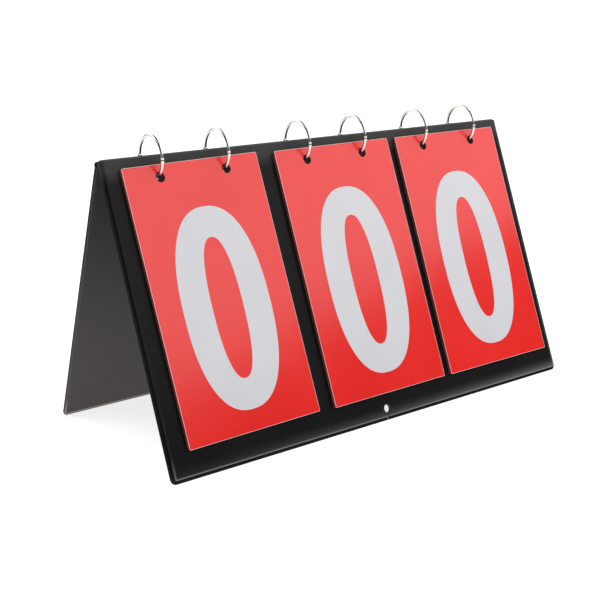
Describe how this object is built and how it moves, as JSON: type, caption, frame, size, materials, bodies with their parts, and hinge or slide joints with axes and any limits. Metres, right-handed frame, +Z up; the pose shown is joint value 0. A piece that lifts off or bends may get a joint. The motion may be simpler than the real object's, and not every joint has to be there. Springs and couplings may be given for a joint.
{
  "type": "flip card scoreboard",
  "caption": "Folding A-frame table scoreboard with three stacks of flip-over number cards hung on loose-leaf rings.",
  "frame": {"origin": "middle of the board's width, under the ridge, on the table", "axes": "+X across the board, front leaf towards -Y, +Z up"},
  "size_m": [0.38, 0.166, 0.2205],
  "materials": {
    "black_vinyl": "semi-gloss soft vinyl",
    "lining_vinyl": "matt vinyl",
    "grey_board": "raw board",
    "card_red": "glossy",
    "numeral_white": "glossy print",
    "ring_nickel": "bright nickel plate",
    "rivet_steel": "satin"
  },
  "bodies": {
    "front_leaf": {"front_cover": "black_vinyl", "front_board": "grey_board", "front_lining": "lining_vinyl", "hinge_strip": "black_vinyl"},
    "rear_leaf": {"rear_cover": "black_vinyl", "rear_board": "grey_board", "rear_lining": "lining_vinyl"},
    "ring_1": {"ring_1_hoop": "ring_nickel", "ring_1_rivet": "rivet_steel"},
    "gate_1": {"ring_1_gate": "ring_nickel"},
    "ring_2": {"ring_2_hoop": "ring_nickel", "ring_2_rivet": "rivet_steel"},
    "gate_2": {"ring_2_gate": "ring_nickel"},
    "ring_3": {"ring_3_hoop": "ring_nickel", "ring_3_rivet": "rivet_steel"},
    "gate_3": {"ring_3_gate": "ring_nickel"},
    "ring_4": {"ring_4_hoop": "ring_nickel", "ring_4_rivet": "rivet_steel"},
    "gate_4": {"ring_4_gate": "ring_nickel"},
    "ring_5": {"ring_5_hoop": "ring_nickel", "ring_5_rivet": "rivet_steel"},
    "gate_5": {"ring_5_gate": "ring_nickel"},
    "ring_6": {"ring_6_hoop": "ring_nickel", "ring_6_rivet": "rivet_steel"},
    "gate_6": {"ring_6_gate": "ring_nickel"},
    "hundreds_9": {"hundreds_card_9": "card_red"},
    "hundreds_8": {"hundreds_card_8": "card_red"},
    "hundreds_7": {"hundreds_card_7": "card_red"},
    "hundreds_6": {"hundreds_card_6": "card_red"},
    "hundreds_5": {"hundreds_card_5": "card_red"},
    "hundreds_4": {"hundreds_card_4": "card_red"},
    "hundreds_3": {"hundreds_card_3": "card_red"},
    "hundreds_2": {"hundreds_card_2": "card_red"},
    "hundreds_1": {"hundreds_card_1": "card_red"},
    "hundreds_0": {"hundreds_card_0": "card_red"},
    "tens_9": {"tens_card_9": "card_red"},
    "tens_8": {"tens_card_8": "card_red"},
    "tens_7": {"tens_card_7": "card_red"},
    "tens_6": {"tens_card_6": "card_red"},
    "tens_5": {"tens_card_5": "card_red"},
    "tens_4": {"tens_card_4": "card_red"},
    "tens_3": {"tens_card_3": "card_red"},
    "tens_2": {"tens_card_2": "card_red"},
    "tens_1": {"tens_card_1": "card_red"},
    "tens_0": {"tens_card_0": "card_red"},
    "units_9": {"units_card_9": "card_red"},
    "units_8": {"units_card_8": "card_red"},
    "units_7": {"units_card_7": "card_red"},
    "units_6": {"units_card_6": "card_red"},
    "units_5": {"units_card_5": "card_red"},
    "units_4": {"units_card_4": "card_red"},
    "units_3": {"units_card_3": "card_red"},
    "units_2": {"units_card_2": "card_red"},
    "units_1": {"units_card_1": "card_red"},
    "units_0": {"units_card_0": "card_red"}
  },
  "joints": [
    {"name": "fold", "type": "hinge", "parent": "front_leaf", "child": "rear_leaf", "pos_m": [0, 0, 0.20414], "axis": [-1, 0, 0], "range_deg": [0, 43], "deforming": ["hinge_strip"]},
    {"name": "ring_1_lean", "type": "hinge", "parent": "front_leaf", "child": "ring_1", "pos_m": [-0.1482, 0, 0.19264], "axis": [0, -1, 0], "range_deg": [-50, 0]},
    {"name": "ring_2_lean", "type": "hinge", "parent": "front_leaf", "child": "ring_2", "pos_m": [-0.0942, 0, 0.19264], "axis": [0, 1, 0], "range_deg": [-50, 0]},
    {"name": "ring_3_lean", "type": "hinge", "parent": "front_leaf", "child": "ring_3", "pos_m": [-0.022, 0, 0.19264], "axis": [0, -1, 0], "range_deg": [-50, 0]},
    {"name": "ring_4_lean", "type": "hinge", "parent": "front_leaf", "child": "ring_4", "pos_m": [0.032, 0, 0.19264], "axis": [0, -1, 0], "range_deg": [-50, 0]},
    {"name": "ring_5_lean", "type": "hinge", "parent": "front_leaf", "child": "ring_5", "pos_m": [0.0965, 0, 0.19264], "axis": [0, 1, 0], "range_deg": [-50, 0]},
    {"name": "ring_6_lean", "type": "hinge", "parent": "front_leaf", "child": "ring_6", "pos_m": [0.1505, 0, 0.19264], "axis": [0, 1, 0], "range_deg": [-50, 0]},
    {"name": "ring_1_open", "type": "hinge", "parent": "ring_1", "child": "gate_1", "pos_m": [-0.1482, 0.0153, 0.20414], "axis": [-1, 0, 0], "range_deg": [0, 75]},
    {"name": "ring_2_open", "type": "hinge", "parent": "ring_2", "child": "gate_2", "pos_m": [-0.0942, 0.0153, 0.20414], "axis": [-1, 0, 0], "range_deg": [0, 75]},
    {"name": "ring_3_open", "type": "hinge", "parent": "ring_3", "child": "gate_3", "pos_m": [-0.022, 0.0153, 0.20414], "axis": [-1, 0, 0], "range_deg": [0, 75]},
    {"name": "ring_4_open", "type": "hinge", "parent": "ring_4", "child": "gate_4", "pos_m": [0.032, 0.0153, 0.20414], "axis": [-1, 0, 0], "range_deg": [0, 75]},
    {"name": "ring_5_open", "type": "hinge", "parent": "ring_5", "child": "gate_5", "pos_m": [0.0965, 0.0153, 0.20414], "axis": [-1, 0, 0], "range_deg": [0, 75]},
    {"name": "ring_6_open", "type": "hinge", "parent": "ring_6", "child": "gate_6", "pos_m": [0.1505, 0.0153, 0.20414], "axis": [-1, 0, 0], "range_deg": [0, 75]},
    {"name": "turn_hundreds_9", "type": "hinge", "parent": "front_leaf", "child": "hundreds_9", "pos_m": [0, 0, 0.20414], "axis": [-1, 0, 0], "range_deg": [0, 240]},
    {"name": "turn_hundreds_8", "type": "hinge", "parent": "hundreds_9", "child": "hundreds_8", "pos_m": [0, 0, 0.20414], "axis": [-1, 0, 0], "range_deg": [0, 240]},
    {"name": "turn_hundreds_7", "type": "hinge", "parent": "hundreds_8", "child": "hundreds_7", "pos_m": [0, 0, 0.20414], "axis": [-1, 0, 0], "range_deg": [0, 240]},
    {"name": "turn_hundreds_6", "type": "hinge", "parent": "hundreds_7", "child": "hundreds_6", "pos_m": [0, 0, 0.20414], "axis": [-1, 0, 0], "range_deg": [0, 240]},
    {"name": "turn_hundreds_5", "type": "hinge", "parent": "hundreds_6", "child": "hundreds_5", "pos_m": [0, 0, 0.20414], "axis": [-1, 0, 0], "range_deg": [0, 240]},
    {"name": "turn_hundreds_4", "type": "hinge", "parent": "hundreds_5", "child": "hundreds_4", "pos_m": [0, 0, 0.20414], "axis": [-1, 0, 0], "range_deg": [0, 240]},
    {"name": "turn_hundreds_3", "type": "hinge", "parent": "hundreds_4", "child": "hundreds_3", "pos_m": [0, 0, 0.20414], "axis": [-1, 0, 0], "range_deg": [0, 240]},
    {"name": "turn_hundreds_2", "type": "hinge", "parent": "hundreds_3", "child": "hundreds_2", "pos_m": [0, 0, 0.20414], "axis": [-1, 0, 0], "range_deg": [0, 240]},
    {"name": "turn_hundreds_1", "type": "hinge", "parent": "hundreds_2", "child": "hundreds_1", "pos_m": [0, 0, 0.20414], "axis": [-1, 0, 0], "range_deg": [0, 240]},
    {"name": "turn_hundreds_0", "type": "hinge", "parent": "hundreds_1", "child": "hundreds_0", "pos_m": [0, 0, 0.20414], "axis": [-1, 0, 0], "range_deg": [0, 240]},
    {"name": "turn_tens_9", "type": "hinge", "parent": "front_leaf", "child": "tens_9", "pos_m": [0, 0, 0.20414], "axis": [-1, 0, 0], "range_deg": [0, 240]},
    {"name": "turn_tens_8", "type": "hinge", "parent": "tens_9", "child": "tens_8", "pos_m": [0, 0, 0.20414], "axis": [-1, 0, 0], "range_deg": [0, 240]},
    {"name": "turn_tens_7", "type": "hinge", "parent": "tens_8", "child": "tens_7", "pos_m": [0, 0, 0.20414], "axis": [-1, 0, 0], "range_deg": [0, 240]},
    {"name": "turn_tens_6", "type": "hinge", "parent": "tens_7", "child": "tens_6", "pos_m": [0, 0, 0.20414], "axis": [-1, 0, 0], "range_deg": [0, 240]},
    {"name": "turn_tens_5", "type": "hinge", "parent": "tens_6", "child": "tens_5", "pos_m": [0, 0, 0.20414], "axis": [-1, 0, 0], "range_deg": [0, 240]},
    {"name": "turn_tens_4", "type": "hinge", "parent": "tens_5", "child": "tens_4", "pos_m": [0, 0, 0.20414], "axis": [-1, 0, 0], "range_deg": [0, 240]},
    {"name": "turn_tens_3", "type": "hinge", "parent": "tens_4", "child": "tens_3", "pos_m": [0, 0, 0.20414], "axis": [-1, 0, 0], "range_deg": [0, 240]},
    {"name": "turn_tens_2", "type": "hinge", "parent": "tens_3", "child": "tens_2", "pos_m": [0, 0, 0.20414], "axis": [-1, 0, 0], "range_deg": [0, 240]},
    {"name": "turn_tens_1", "type": "hinge", "parent": "tens_2", "child": "tens_1", "pos_m": [0, 0, 0.20414], "axis": [-1, 0, 0], "range_deg": [0, 240]},
    {"name": "turn_tens_0", "type": "hinge", "parent": "tens_1", "child": "tens_0", "pos_m": [0, 0, 0.20414], "axis": [-1, 0, 0], "range_deg": [0, 240]},
    {"name": "turn_units_9", "type": "hinge", "parent": "front_leaf", "child": "units_9", "pos_m": [0, 0, 0.20414], "axis": [-1, 0, 0], "range_deg": [0, 240]},
    {"name": "turn_units_8", "type": "hinge", "parent": "units_9", "child": "units_8", "pos_m": [0, 0, 0.20414], "axis": [-1, 0, 0], "range_deg": [0, 240]},
    {"name": "turn_units_7", "type": "hinge", "parent": "units_8", "child": "units_7", "pos_m": [0, 0, 0.20414], "axis": [-1, 0, 0], "range_deg": [0, 240]},
    {"name": "turn_units_6", "type": "hinge", "parent": "units_7", "child": "units_6", "pos_m": [0, 0, 0.20414], "axis": [-1, 0, 0], "range_deg": [0, 240]},
    {"name": "turn_units_5", "type": "hinge", "parent": "units_6", "child": "units_5", "pos_m": [0, 0, 0.20414], "axis": [-1, 0, 0], "range_deg": [0, 240]},
    {"name": "turn_units_4", "type": "hinge", "parent": "units_5", "child": "units_4", "pos_m": [0, 0, 0.20414], "axis": [-1, 0, 0], "range_deg": [0, 240]},
    {"name": "turn_units_3", "type": "hinge", "parent": "units_4", "child": "units_3", "pos_m": [0, 0, 0.20414], "axis": [-1, 0, 0], "range_deg": [0, 240]},
    {"name": "turn_units_2", "type": "hinge", "parent": "units_3", "child": "units_2", "pos_m": [0, 0, 0.20414], "axis": [-1, 0, 0], "range_deg": [0, 240]},
    {"name": "turn_units_1", "type": "hinge", "parent": "units_2", "child": "units_1", "pos_m": [0, 0, 0.20414], "axis": [-1, 0, 0], "range_deg": [0, 240]},
    {"name": "turn_units_0", "type": "hinge", "parent": "units_1", "child": "units_0", "pos_m": [0, 0, 0.20414], "axis": [-1, 0, 0], "range_deg": [0, 240]}
  ]
}
